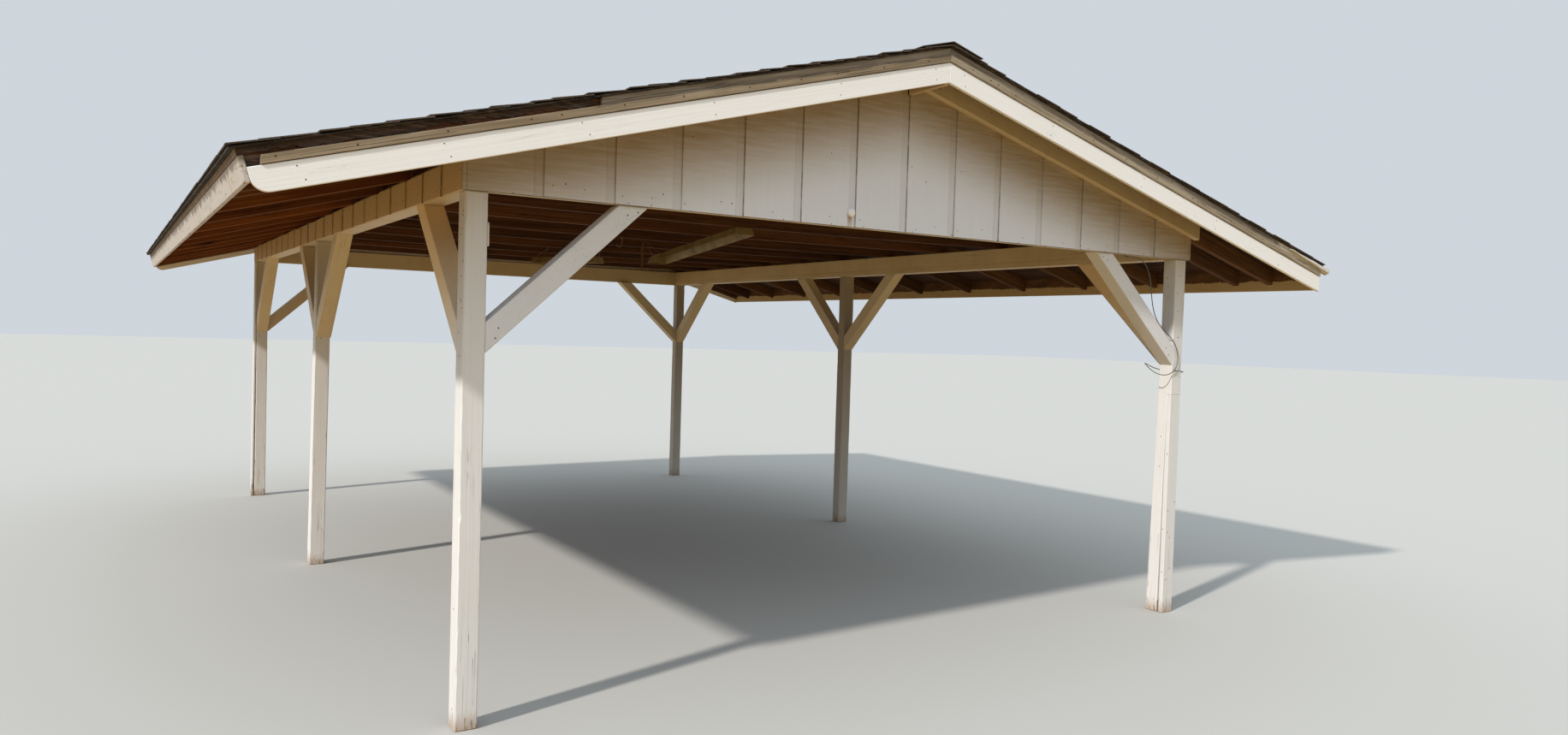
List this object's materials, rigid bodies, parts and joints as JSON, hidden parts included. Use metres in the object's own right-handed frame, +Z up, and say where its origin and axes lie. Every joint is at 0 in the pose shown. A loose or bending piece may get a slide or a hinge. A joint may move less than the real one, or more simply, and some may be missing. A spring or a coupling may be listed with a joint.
{
  "type": "carport",
  "caption": "Free-standing timber carport: posts with knee braces carry a low gabled shingle roof with grooved siding in the gables and open rafters and ceiling joists.",
  "frame": {"origin": "on the floor, at the middle of the roof's plan, level with the feet of the posts", "axes": "+Z up, +Y along the ridge from the pictured front gable to the back, +X across the gable to the right"},
  "size_m": [6.0674, 7.269, 2.9608],
  "materials": {
    "painted_wood": "cream-white exterior paint, dusty and worn, flaking at ends",
    "raw_wood": "bare reddish-brown aged softwood",
    "dark_wood": "bare dark brown aged softwood",
    "weathered_wood": "bare weathered grey softwood",
    "shingle": "dark brown mineral-surfaced bitumen shingle",
    "light_enamel": "dull yellowed enamel",
    "hanger_wire": "rusty wire",
    "cable_jacket": "weathered grey cable jacket"
  },
  "bodies": {
    "root": {"braces_back_left": "painted_wood", "braces_back_right": "painted_wood", "braces_front_left": "painted_wood", "braces_front_right": "painted_wood", "braces_middle_left": "painted_wood", "braces_middle_right": "painted_wood", "ceiling_joists": "dark_wood", "deck_left": "raw_wood", "deck_right": "raw_wood", "fascia_left": "painted_wood", "fascia_right": "painted_wood", "gable_frieze_left": "painted_wood", "gable_frieze_right": "painted_wood", "gable_siding_back": "painted_wood", "gable_siding_front": "painted_wood", "header_back": "painted_wood", "header_front": "painted_wood", "joist_strip": "raw_wood", "light_long": "light_enamel", "light_short": "light_enamel", "light_wires": "hanger_wire", "plate_left": "painted_wood", "plate_right": "painted_wood", "post_back_left": "painted_wood", "post_back_right": "painted_wood", "post_board_back_left": "painted_wood", "post_board_front_right": "painted_wood", "post_cable": "cable_jacket", "post_front_left": "painted_wood", "post_front_right": "painted_wood", "post_middle_left": "painted_wood", "post_middle_right": "painted_wood", "rafters_left": "raw_wood", "rafters_right": "raw_wood", "rail_left": "painted_wood", "rail_right": "painted_wood", "rake_board_left": "painted_wood", "rake_board_right": "painted_wood", "rake_strip_left": "weathered_wood", "rake_strip_right": "weathered_wood", "rake_trim_left": "weathered_wood", "rake_trim_right": "weathered_wood", "ridge_board": "raw_wood", "ridge_cap": "shingle", "roofing_left": "shingle", "roofing_right": "shingle", "side_frieze_left": "painted_wood", "side_frieze_right": "painted_wood"}
  },
  "joints": []
}
